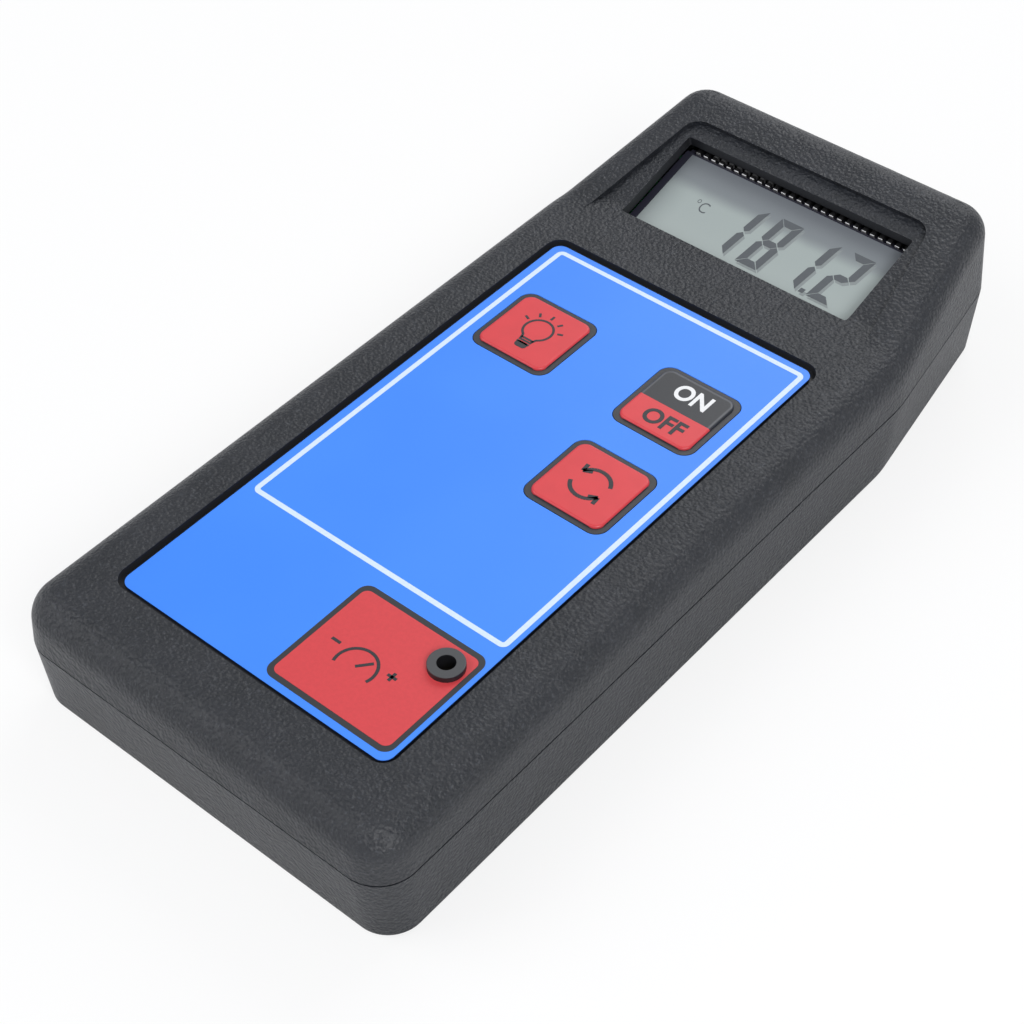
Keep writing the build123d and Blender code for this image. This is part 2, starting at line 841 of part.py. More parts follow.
def probe_socket():
    """The jack body inside, with its threaded barrel through the end wall."""
    seat = far_end - socket_pocket_depth - wall
    body = block(
        -socket_body_width / 2, socket_body_width / 2, seat - socket_body_length, seat,
        socket_height - socket_body_height / 2, socket_height + socket_body_height / 2,
    )
    length = wall + socket_nut_thickness
    cylinder = Rot(-90, 0, 0) * Cylinder(
        socket_barrel_radius, length, align=(Align.CENTER, Align.CENTER, Align.MIN)
    )
    body += Pos(0, seat, socket_height) * cylinder
    bore = Rot(-90, 0, 0) * Cylinder(
        socket_bore_radius, socket_bore_length, align=(Align.CENTER, Align.CENTER, Align.MAX)
    )
    return body - Pos(0, seat + length, socket_height) * bore


def socket_nut():
    face = far_end - socket_pocket_depth
    ring = Cylinder(socket_nut_radius, socket_nut_thickness, align=(Align.CENTER, Align.CENTER, Align.MIN))
    ring -= Cylinder(socket_barrel_radius + thread_clearance, 4 * socket_nut_thickness)
    for side in (-1, 1):
        ring -= Pos(side * socket_nut_radius, 0, socket_nut_thickness) * Box(1.6, 1.2, 1.4)
    return Pos(0, face, socket_height) * (Rot(-90, 0, 0) * ring)


def socket_leads():
    back = far_end - socket_pocket_depth - wall - socket_body_length
    wires = []
    for x in (-2.4, 0.0, 2.4):
        end = near_end + main_board_far - 14.0
        points = [(x, back, socket_height), (x, end, socket_height), (x, end, main_board_bottom)]
        wires.append(lead(points, 2.5))
    return Compound(children=wires)


def parts():
    nodes = {
        "top_shell": top_shell(),
        "bottom_shell": bottom_shell(),
        "battery_door": battery_door(),
        "front_panel": front_panel(),
        "calibration_bush": calibration_bush(),
        "trimmer_body": trimmer_body(),
        "trimmer_rotor": trimmer_rotor(),
        "main_board": main_board(),
        "converter_chip": converter_chip(),
        "amplifier_chip": amplifier_chip(),
        "capacitors": capacitors(),
        "crystal": crystal(),
        "lcd_glass": lcd_glass(),
        "lcd_film": lcd_film(),
        "lcd_pins": lcd_pins(),
        "backlight": backlight(),
        "display_board": display_board(),
        "ribbon_cable": ribbon_cable(),
        "battery": battery(),
        "battery_snap": battery_snap(),
        "battery_leads": battery_leads(),
        "probe_socket": probe_socket(),
        "socket_nut": socket_nut(),
        "socket_leads": socket_leads(),
        "board_screws": board_screws(),
        "case_screws": case_screws(),
    }
    for name, place in key_places.items():
        nodes[name + "_key"] = key(place)
        nodes[name + "_plunger"] = plunger(place)
        nodes[name + "_switch"] = key_switch(place)
    return nodes


os.makedirs("parts", exist_ok=True)
for node, shape in parts().items():
    export_step(shape, "parts/" + node + ".step")
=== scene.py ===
from math import atan2, cos, radians, sin

import bpy
from mathutils import Matrix, Vector


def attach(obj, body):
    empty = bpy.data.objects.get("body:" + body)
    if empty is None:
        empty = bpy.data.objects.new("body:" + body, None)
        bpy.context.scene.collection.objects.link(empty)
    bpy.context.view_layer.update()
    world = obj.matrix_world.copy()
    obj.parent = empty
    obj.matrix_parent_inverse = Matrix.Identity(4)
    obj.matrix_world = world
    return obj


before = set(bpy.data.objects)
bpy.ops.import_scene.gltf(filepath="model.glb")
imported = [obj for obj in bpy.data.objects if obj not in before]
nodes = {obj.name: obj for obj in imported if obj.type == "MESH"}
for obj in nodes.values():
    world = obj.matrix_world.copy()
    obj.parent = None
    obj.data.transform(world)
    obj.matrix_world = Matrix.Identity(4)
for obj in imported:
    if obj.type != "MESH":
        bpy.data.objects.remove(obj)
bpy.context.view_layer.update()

# Camera
# The photograph looks down on the meter from the battery end's right, through a long lens.
# Its place and turn are the ones that put the case's corners where they are in the photograph.
camera_place = Vector((0.17106, -0.20576, 0.27377))
camera_right = Vector((0.76276, 0.64642, -0.01827))
camera_up = Vector((-0.45325, 0.55455, 0.69788))
camera_back = Vector((0.46126, -0.52403, 0.71598))
bpy.ops.object.camera_add(location=camera_place)
camera = bpy.context.object
camera.name = "photo_camera"
turned = Matrix((camera_right, camera_up, camera_back)).transposed().to_4x4()
camera.matrix_world = Matrix.Translation(camera_place) @ turned
camera.data.sensor_width = 36
camera.data.lens = 75.884
camera.data.clip_start = 0.01
camera.data.clip_end = 20
bpy.context.scene.camera = camera
bpy.context.scene.view_settings.view_transform = "Standard"


# Case shells and battery door
# Two halves and a door moulded in charcoal plastic. The mould is etched, which leaves a fine
# leather grain outside; the panel's recess and the window's walls are polished in the mould.
MM = 0.001


def new_material(name):
    """An empty material with its shader and the piece's own coordinates in millimetres."""
    mat = bpy.data.materials.new(name)
    mat.use_nodes = True
    tree = mat.node_tree
    shader = tree.nodes["Principled BSDF"]
    coords = tree.nodes.new("ShaderNodeTexCoord")
    scaled = tree.nodes.new("ShaderNodeMapping")
    scaled.inputs["Scale"].default_value = (1 / MM, 1 / MM, 1 / MM)
    tree.links.new(coords.outputs["Object"], scaled.inputs["Vector"])
    return mat, tree, shader, scaled.outputs["Vector"]


def put(tree, socket, value):
    """Sets a socket to a number or a colour, or joins it to another socket."""
    if isinstance(value, (int, float)):
        socket.default_value = value
    elif isinstance(value, tuple):
        socket.default_value = value if len(value) == len(socket.default_value) else (*value, 1)
    else:
        tree.links.new(value, socket)


def calc(tree, operation, *values):
    node = tree.nodes.new("ShaderNodeMath")
    node.operation = operation
    for socket, value in zip(node.inputs, values):
        put(tree, socket, value)
    return node.outputs[0]


def ramp(tree, value, low, high, start=0.0, end=1.0):
    """Runs from start to end as the value goes from low to high, and stays there outside."""
    node = tree.nodes.new("ShaderNodeMapRange")
    node.interpolation_type = "SMOOTHSTEP"
    put(tree, node.inputs["Value"], value)
    node.inputs["From Min"].default_value = low
    node.inputs["From Max"].default_value = high
    node.inputs["To Min"].default_value = start
    node.inputs["To Max"].default_value = end
    return node.outputs["Result"]


def mix(tree, factor, a, b):
    node = tree.nodes.new("ShaderNodeMix")
    node.data_type = "RGBA"
    put(tree, node.inputs["Factor"], factor)
    put(tree, node.inputs["A"], a)
    put(tree, node.inputs["B"], b)
    return node.outputs["Result"]


def noise(tree, vector, scale, detail=2, rough=0.5, output="Fac"):
    """Cloudy noise, with its scale in lumps per millimetre."""
    node = tree.nodes.new("ShaderNodeTexNoise")
    tree.links.new(vector, node.inputs["Vector"])
    node.inputs["Scale"].default_value = scale
    node.inputs["Detail"].default_value = detail
    node.inputs["Roughness"].default_value = rough
    return node.outputs[output]


def unevenness(tree, vector, scale, detail=3, rough=0.6, start=0.0, end=1.0):
    """Noise spread out between two values."""
    return ramp(tree, noise(tree, vector, scale, detail, rough), 0.3, 0.7, start, end)


def bump(tree, shader, height, strength, distance):
    node = tree.nodes.new("ShaderNodeBump")
    put(tree, node.inputs["Strength"], strength)
    node.inputs["Distance"].default_value = distance
    tree.links.new(height, node.inputs["Height"])
    tree.links.new(node.outputs["Normal"], shader.inputs["Normal"])


def axes(tree, vector):
    node = tree.nodes.new("ShaderNodeSeparateXYZ")
    tree.links.new(vector, node.inputs["Vector"])
    return node.outputs["X"], node.outputs["Y"], node.outputs["Z"]


def rounded_box(tree, x, y, centre, half, radius):
    """Distance in millimetres from a rounded rectangle's edge, below zero inside it."""
    past = []
    for value, middle, reach in zip((x, y), centre, half):
        away = calc(tree, "ABSOLUTE", calc(tree, "SUBTRACT", value, middle))
        past.append(calc(tree, "SUBTRACT", away, reach - radius))
    outer_x, outer_y = (calc(tree, "MAXIMUM", value, 0.0) for value in past)
    squares = calc(tree, "MULTIPLY_ADD", outer_x, outer_x, calc(tree, "MULTIPLY", outer_y, outer_y))
    inside = calc(tree, "MINIMUM", calc(tree, "MAXIMUM", *past), 0.0)
    return calc(tree, "SUBTRACT", calc(tree, "ADD", calc(tree, "SQRT", squares), inside), radius)


head_tilt = radians(14.6)
head_start_y = 47.8
body_top = 23.8
up_head = (cos(head_tilt), sin(head_tilt))
out_of_head = (-sin(head_tilt), cos(head_tilt))


def from_bend(tree, y, z, way):
    """How far a place lies from the head's bend along a direction in y and z, in millimetres."""
    ahead = calc(tree, "SUBTRACT", y, head_start_y)
    above = calc(tree, "SUBTRACT", z, body_top)
    return calc(tree, "MULTIPLY_ADD", ahead, way[0], calc(tree, "MULTIPLY", above, way[1]))


def dress(node, mat):
    """Gives a CAD node its material."""
    obj = nodes[node]
    obj.data.materials.clear()
    obj.data.materials.append(mat)


parting_height = 14.2
panel_centre = (0.0, -18.65)
recess_half = (29.5, 55.65)
recess_corner = 3.0
window_centre = (0.0, 13.1)
window_half = (25.1, 10.7)
window_corner = 0.5
bezel_floor = -1.0
edge_step = 0.1
polished_colour = (0.016, 0.017, 0.020)
grain_dark, grain_light = (0.012, 0.014, 0.018), (0.017, 0.019, 0.024)
# The pale speck colour is used for painted glints in the grain.
glint_speck_colour = (0.085, 0.092, 0.106)
grain_depth = 0.27 * MM

case_plastic, tree, shader, place = new_material("charcoal_case_plastic")
x, y, z = axes(tree, place)
up_slope = from_bend(tree, y, z, up_head)
out_of_slope = from_bend(tree, y, z, out_of_head)
recess_edge = rounded_box(tree, x, y, panel_centre, recess_half, recess_corner)
below_top = calc(tree, "LESS_THAN", z, body_top - edge_step)
in_recess = calc(tree, "MULTIPLY", calc(tree, "LESS_THAN", recess_edge, 0.03), below_top)
window_edge = rounded_box(tree, x, up_slope, window_centre, window_half, window_corner)
below_bezel = calc(tree, "LESS_THAN", out_of_slope, bezel_floor - edge_step)
in_window = calc(tree, "MULTIPLY", calc(tree, "LESS_THAN", window_edge, 0.04), below_bezel)
in_upper_shell = calc(tree, "GREATER_THAN", z, parting_height + edge_step)
polished = calc(tree, "MULTIPLY", calc(tree, "MAXIMUM", in_recess, in_window), in_upper_shell)
etched = calc(tree, "SUBTRACT", 1.0, polished)

warp = tree.nodes.new("ShaderNodeMix")
warp.data_type = "VECTOR"
warp.inputs["Factor"].default_value = 0.06
tree.links.new(place, warp.inputs["A"])
tree.links.new(noise(tree, place, 1.1, output="Color"), warp.inputs["B"])
pebble_cells = tree.nodes.new("ShaderNodeTexVoronoi")
pebble_cells.feature = "SMOOTH_F1"
pebble_cells.inputs["Scale"].default_value = 1.85
tree.links.new(warp.outputs["Result"], pebble_cells.inputs["Vector"])
pebbles = calc(tree, "MULTIPLY", pebble_cells.outputs["Distance"], -0.9)
fine = noise(tree, place, 2.7, detail=3, rough=0.6)
swell = calc(tree, "MULTIPLY", noise(tree, place, 0.8), 0.3)
grain = calc(tree, "ADD", pebbles, calc(tree, "MULTIPLY_ADD", fine, 0.55, swell))
bump(tree, shader, grain, ramp(tree, etched, 0.0, 1.0, 0.02, 1.0), grain_depth)

patches = unevenness(tree, place, 0.09, detail=2)
tone = mix(tree, patches, grain_dark, grain_light)
# Pale specks mixed into the grain's colour are painted glints.
painted_grain_glints = ramp(tree, noise(tree, place, 1.7, detail=3, rough=0.7), 0.56, 0.68)
grain_with_painted_glints = mix(tree, calc(tree, "MULTIPLY", painted_grain_glints, 0.40), tone, glint_speck_colour)
put(tree, shader.inputs["Base Color"], mix(tree, polished, grain_with_painted_glints, polished_colour))
put(tree, shader.inputs["Roughness"], ramp(tree, fine, 0.3, 0.7, 0.34, 0.46))
for name in ("top_shell", "bottom_shell", "battery_door"):
    dress(name, case_plastic)


# Front panel
# A blue sheet of printed plastic, cut with rounded corners and stuck down in the recess. It is
# printed on its back, so the colour is deep and even, and its cut edge is dark.
panel_half = (28.5, 54.65)
panel_corner = 2.0
panel_top = 23.1
panel_print_depth = 0.12
cut_edge_colour = (0.010, 0.014, 0.030)

panel_blue, tree, shader, place = new_material("printed_panel_blue")
x, y, z = axes(tree, place)
panel_edge = rounded_box(tree, x, y, panel_centre, panel_half, panel_corner)
below_print = calc(tree, "LESS_THAN", z, panel_top - panel_print_depth)
cut_edge = calc(tree, "MULTIPLY", calc(tree, "GREATER_THAN", panel_edge, -0.02), below_print)
cloud = unevenness(tree, place, 0.03, detail=2, rough=0.5)
blue = mix(tree, cloud, (0.044, 0.232, 0.900), (0.050, 0.246, 0.925))
put(tree, shader.inputs["Base Color"], mix(tree, cut_edge, blue, cut_edge_colour))
put(tree, shader.inputs["Roughness"], unevenness(tree, place, 2.5, start=0.36, end=0.44))
shader.inputs["Specular IOR Level"].default_value = 0.45
bump(tree, shader, noise(tree, place, 5.0, detail=3, rough=0.6), 0.05, 0.04 * MM)
dress("front_panel", panel_blue)


# Panel frame line
# A pale line printed round the panel's display half, with small round corners. The ink is raised a
# hair above the sheet, so it is a thin loop of its own.
def select_only(obj):
    bpy.ops.object.select_all(action="DESELECT")
    obj.select_set(True)
    bpy.context.view_layer.objects.active = obj


def ink(name, colour, rough=0.5):
    """Flat printing ink with a faint unevenness."""
    mat, tree, shader, place = new_material(name)
    darker = tuple(c * 0.94 for c in colour)
    put(tree, shader.inputs["Base Color"], mix(tree, unevenness(tree, place, 1.7), darker, colour))
    matt = unevenness(tree, place, 4.0, detail=2, rough=0.5, start=rough - 0.04, end=rough + 0.04)
    put(tree, shader.inputs["Roughness"], matt)
    bump(tree, shader, noise(tree, place, 7.0, detail=3, rough=0.6), 0.06, 0.03 * MM)
    return mat


def settle(obj, name, mat, body):
    """Applies a finished piece's place, names it and lets it ride."""
    select_only(obj)
    bpy.ops.object.transform_apply(location=True, rotation=True, scale=True)
    obj.name = name
    obj.data.name = name
    obj.data.materials.clear()
    obj.data.materials.append(mat)
    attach(obj, body)


def thicken(thickness):
    """In edit mode, raises a flat mesh into a thin plate with its faces outward."""
    bpy.ops.mesh.select_all(action="SELECT")
    bpy.ops.mesh.extrude_region_move(TRANSFORM_OT_translate={"value": (0, 0, thickness * MM)})
    bpy.ops.mesh.select_all(action="SELECT")
    bpy.ops.mesh.normals_make_consistent(inside=False)
    bpy.ops.object.mode_set(mode="OBJECT")


def rounded_plate(centre, size, radius, bottom, thickness, line=0.0):
    """A flat plate, or a loop of the given line width, with rounded corners, in millimetres."""
    bpy.ops.object.select_all(action="DESELECT")
    bpy.ops.mesh.primitive_plane_add(size=1, location=(centre[0] * MM, centre[1] * MM, bottom * MM))
    obj = bpy.context.object
    obj.scale = (size[0] * MM, size[1] * MM, 1)
    bpy.ops.object.transform_apply(location=False, rotation=False, scale=True)
    bpy.ops.object.mode_set(mode="EDIT")
    bpy.ops.mesh.select_all(action="SELECT")
    bpy.ops.mesh.bevel(affect="VERTICES", offset=radius * MM, segments=8, profile=0.5)
    bpy.ops.mesh.select_all(action="SELECT")
    if line:
        bpy.ops.mesh.inset(thickness=line * MM, depth=0)
        bpy.ops.mesh.delete(type="FACE")
    thicken(thickness)
    return obj


ink_height = 0.03
pale_ink = ink("pale_line_ink", (0.640, 0.760, 1.0))
line_centre, line_size = (0.35, -5.35), (54.6, 80.2)
line_corner, line_width = 1.3, 0.95
frame_line = rounded_plate(line_centre, line_size, line_corner, panel_top, ink_height, line=line_width)
settle(frame_line, "panel_frame_line", pale_ink, "case")

# Calibration print
# A red field with a dark border, printed on the panel round the calibration bush. In its middle
# a plain adjusting sign, an arc between a minus and a plus, shows what the screwdriver turns.
bush_place = (23.2, -53.7)
bush_collar_radius = 3.05
collar_overlap = 0.1
border_centre, border_size, border_corner = (14.7, -60.25), (25.8, 23.5), 2.0
field_centre, field_size, field_corner = (14.72, -60.25), (23.95, 21.4), 1.3
dark_ink = ink("dark_grey_ink", (0.026, 0.028, 0.033), 0.48)
red_ink = ink("calibration_red_ink", (0.620, 0.052, 0.060), 0.40)


def clear_of_bush(obj):
    """Cuts the round hole through which the bush stands."""
    bpy.ops.object.select_all(action="DESELECT")
    bpy.ops.mesh.primitive_cylinder_add(
        vertices=48, radius=(bush_collar_radius - collar_overlap) * MM, depth=2 * MM,
        location=(bush_place[0] * MM, bush_place[1] * MM, panel_top * MM),
    )
    cutter = bpy.context.object
    select_only(obj)
    cut = obj.modifiers.new("bush_hole", "BOOLEAN")
    cut.operation = "DIFFERENCE"
    cut.object = cutter
    bpy.ops.object.modifier_apply(modifier=cut.name)
    bpy.data.objects.remove(cutter)


border = rounded_plate(border_centre, border_size, border_corner, panel_top, ink_height)
clear_of_bush(border)
settle(border, "calibration_border", dark_ink, "case")
field = rounded_plate(field_centre, field_size, field_corner, panel_top + ink_height, ink_height)
clear_of_bush(field)
settle(field, "calibration_field", red_ink, "case")


def joined(pieces):
    """Several objects joined into one."""
    bpy.ops.object.select_all(action="DESELECT")
    for obj in pieces:
        obj.select_set(True)
    bpy.context.view_layer.objects.active = pieces[0]
    bpy.ops.object.join()
    return bpy.context.object


def strokes(name, segments, width, bottom, mat, body):
    """Straight strokes of ink with square ends, each from one point to another, as one piece."""
    pieces = []
    for (x0, y0), (x1, y1) in segments:
        length = ((x1 - x0) ** 2 + (y1 - y0) ** 2) ** 0.5
        bpy.ops.object.select_all(action="DESELECT")
        bpy.ops.mesh.primitive_plane_add(size=1, location=(0, 0, 0))
        obj = bpy.context.object
        obj.scale = (length * MM, width * MM, 1)
        obj.rotation_euler = (0, 0, atan2(y1 - y0, x1 - x0))
        obj.location = ((x0 + x1) / 2 * MM, (y0 + y1) / 2 * MM, bottom * MM)
        bpy.ops.object.transform_apply(location=True, rotation=True, scale=True)
        bpy.ops.object.mode_set(mode="EDIT")
        thicken(ink_height)
        pieces.append(obj)
    settle(joined(pieces), name, mat, body)


def around(centre, radius, degrees):
    """The point at an angle on a circle."""
    return centre[0] + radius * cos(radians(degrees)), centre[1] + radius * sin(radians(degrees))


def arc(centre, radius, start, end, steps):
    """Short strokes along an arc."""
    points = [around(centre, radius, start + (end - start) * i / steps) for i in range(steps + 1)]
    return list(zip(points[:-1], points[1:]))


def dash(centre, length):
    return (centre[0] - length / 2, centre[1]), (centre[0] + length / 2, centre[1])


def upright(centre, length):
    return (centre[0], centre[1] - length / 2), (centre[0], centre[1] + length / 2)


dial_centre, dial_radius = (12.3, -62.4), 3.6
pointer_end = (14.2, -60.2)
minus_centre, plus_centre, mark_length = (6.5, -60.4), (18.1, -60.4), 1.8
adjust = arc(dial_centre, dial_radius, 200, -20, steps=24)
adjust += [dash(minus_centre, mark_length), dash(plus_centre, mark_length)]
adjust += [upright(plus_centre, mark_length), (dial_centre, pointer_end)]
strokes("calibration_sign", adjust, 0.55, panel_top + 2 * ink_height, dark_ink, "case")

# Calibration bush
# A small turned bush of black acetal, pressed through the panel. It guides the screwdriver to the
# trimmer, and its top is faced flat. The top is painted lighter than the side, as painted light.
bush_top = 24.3
bush_side_colour, bush_lit_top_colour = (0.010, 0.010, 0.012), (0.060, 0.062, 0.066)
turning_mark_rate = 40.0
bush_black, tree, shader, place = new_material("bush_acetal")
x, y, z = axes(tree, place)
# The top face is painted lighter than the side: painted light on the top.
painted_lit_top = ramp(tree, z, bush_top - 0.15, bush_top - 0.05)
across = calc(tree, "POWER", calc(tree, "SUBTRACT", x, bush_place[0]), 2.0)
along = calc(tree, "POWER", calc(tree, "SUBTRACT", y, bush_place[1]), 2.0)
radius = calc(tree, "SQRT", calc(tree, "ADD", across, along))
turning_marks = calc(tree, "SINE", calc(tree, "MULTIPLY", radius, turning_mark_rate))
put(tree, shader.inputs["Base Color"], mix(tree, painted_lit_top, bush_side_colour, bush_lit_top_colour))
put(tree, shader.inputs["Roughness"], ramp(tree, turning_marks, -1.0, 1.0, 0.40, 0.50))
bump(tree, shader, turning_marks, 0.05, 0.03 * MM)
dress("calibration_bush", bush_black)

# Keys
# Embossed pads of the overlay, each a red cushion inside a dark printed frame. The on and off key
# is dark in its upper half. Satin ink with a soft raised edge.
key_frame_colour = (0.026, 0.028, 0.033)
key_red = (0.640, 0.045, 0.054)
# The paler colour is painted sheen along the raised edge of the dark half.
edge_sheen_colour = (0.085, 0.090, 0.100)
light_centre, power_centre, mode_centre = (-15.7, 13.75), (15.7, 13.75), (15.7, -9.65)
cushion_half = (7.42, 7.42)
cushion_corner = 1.75
cushion_height = 0.5
key_top = panel_top + cushion_height


def key_material(name, centre, split=None):
    mat, tree, shader, place = new_material(name)
    x, y, z = axes(tree, place)
    pad = rounded_box(tree, x, y, centre, cushion_half, cushion_corner)
    raised = calc(tree, "GREATER_THAN", z, panel_top + 0.005)
    on_pad = calc(tree, "MULTIPLY", ramp(tree, pad, 0.02, -0.02), raised)
    drift = unevenness(tree, place, 0.25, detail=2, rough=0.5)
    cushion = mix(tree, drift, tuple(c * 0.95 for c in key_red), key_red)
    if split is not None:
        # On the dark half, a paler band just inside the pad's edge is painted sheen on the raised edge.
        painted_edge_sheen = calc(tree, "MULTIPLY", ramp(tree, pad, -0.75, -0.45), ramp(tree, pad, -0.1, -0.35))
        dark = mix(tree, painted_edge_sheen, key_frame_colour, edge_sheen_colour)
        cushion = mix(tree, calc(tree, "GREATER_THAN", y, split), cushion, dark)
    put(tree, shader.inputs["Base Color"], mix(tree, on_pad, key_frame_colour, cushion))
    put(tree, shader.inputs["Roughness"], unevenness(tree, place, 3.0, start=0.34, end=0.44))
    bump(tree, shader, noise(tree, place, 4.5, detail=3, rough=0.6), 0.08, 0.04 * MM)
    return mat


dress("light_key", key_material("light_key_ink", light_centre))
dress("mode_key", key_material("mode_key_ink", mode_centre))
dress("power_key", key_material("power_key_ink", power_centre, split=13.1))

# Light key's sign
# A bulb printed in dark ink on the pad: a round outline, a neck with bands, a filled base and five
# short rays above it.
bulb_centre = (-15.45, 14.35)
bulb_radius = 2.75
neck_top = bulb_centre[1] - 2.4
neck_half_top, neck_half_foot = 1.46, 1.15
first_band, band_pitch, band_length = neck_top - 0.55, 0.62, 2.7
ray_start, ray_end, ray_turn = 3.55, 4.6, 34
base_centre, base_size, base_corner = (bulb_centre[0], neck_top - 2.35), (2.5, 1.5), 0.72
bulb = arc(bulb_centre, bulb_radius, -58, 238, steps=36)
for side in (-1, 1):
    shoulder = (bulb_centre[0] + side * neck_half_top, neck_top + 0.1)
    bulb.append((shoulder, (bulb_centre[0] + side * neck_half_foot, neck_top - 1.0)))
for step in range(3):
    bulb.append(dash((bulb_centre[0], first_band - band_pitch * step), band_length))
for step in range(5):
    angle = 90 + ray_turn * (step - 2)
    bulb.append((around(bulb_centre, ray_start, angle), around(bulb_centre, ray_end, angle)))
strokes("light_key_bulb", bulb, 0.46, key_top, dark_ink, "light_key_pad")
base = rounded_plate(base_centre, base_size, base_corner, key_top, ink_height)
settle(base, "light_key_bulb_base", dark_ink, "light_key_pad")


# On and off words
# Plain sans letters printed on the two halves of the key, pale on the dark half and dark on the
# red half.
def word(name, text, centre, size, level, mat, body, weight, tilt=Matrix()):
    """A printed word fitted to a width and height, in millimetres, as a thin mesh."""
    bpy.ops.object.select_all(action="DESELECT")
    bpy.ops.object.text_add(location=(0, 0, 0))
    obj = bpy.context.object
    obj.data.body = text
    obj.data.size = size[1] * MM
    obj.data.extrude = ink_height / 2 * MM
    obj.data.offset = weight * MM
    obj.data.resolution_u = 6
    bpy.ops.object.convert(target="MESH")
    obj = bpy.context.object
    xs = [v.co.x for v in obj.data.vertices]
    ys = [v.co.y for v in obj.data.vertices]
    wide, high = max(xs) - min(xs), max(ys) - min(ys)
    obj.data.transform(Matrix.Translation((-(max(xs) + min(xs)) / 2, -(max(ys) + min(ys)) / 2, 0)))
    obj.data.transform(Matrix.Diagonal((size[0] * MM / wide, size[1] * MM / high, 1, 1)))
    place = Matrix.Translation((centre[0] * MM, centre[1] * MM, (level + ink_height / 2) * MM))
    obj.data.transform(tilt @ place)
    settle(obj, name, mat, body)


bold = 0.11
white_ink = ink("white_letter_ink", (0.800, 0.805, 0.815), 0.45)
word("power_key_on", "ON", (16.2, 17.55), (7.0, 3.9), key_top, white_ink, "power_key_pad", bold)
word("power_key_off", "OFF", (16.0, 9.75), (8.2, 3.75), key_top, dark_ink, "power_key_pad", bold)

# Mode key's sign
# Two arrows along a circle that follow each other, the plain sign for going on to the next
# reading.
arrow_radius = 3.4
arrow_span = 130
barb_length = 1.7
cycle = []
for start in (20, 200):
    end = start + arrow_span
    cycle += arc(mode_centre, arrow_radius, start, end, steps=16)
    tip = around(mode_centre, arrow_radius, end)
    for turn in (-145, 145):
        cycle.append((tip, around(tip, barb_length, end + 90 + turn)))
strokes("mode_key_arrows", cycle, 0.75, key_top, dark_ink, "mode_key_pad")

# Display glass and film
# A reflective liquid crystal cell: two clear plates with a grey-green polarising film on the
# front. The film is darker towards the top, where the window's wall keeps the light off.
film_grey, tree, shader, place = new_material("display_film")
x, y, z = axes(tree, place)
up_slope = from_bend(tree, y, z, up_head)
wave = calc(tree, "MULTIPLY", calc(tree, "SUBTRACT", noise(tree, place, 0.12), 0.5), 1.2)
shade_height = calc(tree, "ADD", up_slope, wave)
lit = mix(tree, ramp(tree, up_slope, 1.0, 12.0), (0.365, 0.410, 0.400), (0.335, 0.380, 0.372))
dimmed = mix(tree, ramp(tree, shade_height, 14.2, 17.6), lit, (0.200, 0.222, 0.236))
shaded = mix(tree, ramp(tree, shade_height, 17.0, 22.6), dimmed, (0.150, 0.164, 0.182))
left_shade = calc(tree, "MULTIPLY", ramp(tree, x, -23.9, -17.5, 1.0, 0.0), 0.35)
put(tree, shader.inputs["Base Color"], mix(tree, left_shade, shaded, (0.150, 0.170, 0.180)))
satin = unevenness(tree, place, 1.5, detail=2, rough=0.5, start=0.30, end=0.36)
put(tree, shader.inputs["Roughness"], satin)
dress("lcd_film", film_grey)

clear_glass, tree, shader, place = new_material("display_glass")
smoky = mix(tree, noise(tree, place, 0.2), (0.022, 0.022, 0.034), (0.030, 0.030, 0.045))
put(tree, shader.inputs["Base Color"], smoky)
shader.inputs["Roughness"].default_value = 0.08
dress("lcd_glass", clear_glass)

# Display digits
# Seven-segment digits that the cell darkens, with the unit sign to their left. Each
# segment throws a soft shadow on the reflector behind the cell, down and to the right.
to_head = Matrix.Translation((0, head_start_y * MM, body_top * MM)) @ Matrix.Rotation(head_tilt, 4, "X")
film_level = -4.2
segment_grey = ink("segment_grey", (0.098, 0.108, 0.118), 0.35)
shadow_grey = ink("segment_shadow", (0.245, 0.272, 0.274), 0.35)
digit_low, digit_high = 5.7, 18.3
digit_middle = (digit_low + digit_high) / 2
digit_width = 4.85
bar_width = 1.5
segment_gap = 0.12
slant = 2.05 / (digit_high - digit_low)
lit_bars = {
    "8": ("top", "bottom", "middle", "upper_left", "upper_right", "lower_left", "lower_right"),
    "1": ("upper_right", "lower_right"),
    "2": ("top", "upper_right", "middle", "lower_left", "bottom"),
}


def side_bar(outer, inner, between, way, end):
    """A bar at a digit's side, from one end to the digit's middle."""
    return [
        (outer, end - way * segment_gap),
        (inner, end - way * (bar_width + segment_gap)),
        (inner, digit_middle + way * (bar_width / 2 + segment_gap)),
        (between, digit_middle + way * segment_gap),
        (outer, digit_middle + way * (bar_width * 0.4 + segment_gap)),
    ]


def digit_bars(digit, left_edge):
    """The corner points of each lit bar of one digit, leaning as the display's digits do."""
    near, far = segment_gap, digit_width - segment_gap
    half = bar_width / 2
    bars = {
        "top": [
            (near, digit_high), (far, digit_high),
            (far - bar_width, digit_high - bar_width), (near + bar_width, digit_high - bar_width),
        ],
        "bottom": [
            (near + bar_width, digit_low + bar_width), (far - bar_width, digit_low + bar_width),
            (far, digit_low), (near, digit_low),
        ],
        "middle": [
            (near + half, digit_middle), (near + bar_width, digit_middle + half),
            (far - bar_width, digit_middle + half), (far - half, digit_middle),
            (far - bar_width, digit_middle - half), (near + bar_width, digit_middle - half),
        ],
    }
    for side, outer, inward in (("left", 0.0, 1), ("right", digit_width, -1)):
        inner, between = outer + inward * bar_width, outer + inward * half
        bars["upper_" + side] = side_bar(outer, inner, between, 1, digit_high)
        bars["lower_" + side] = side_bar(outer, inner, between, -1, digit_low)
    leaning = []
    for bar in lit_bars[digit]:
        leaning.append([(left_edge + px + (py - digit_low) * slant, py) for px, py in bars[bar]])
    return leaning


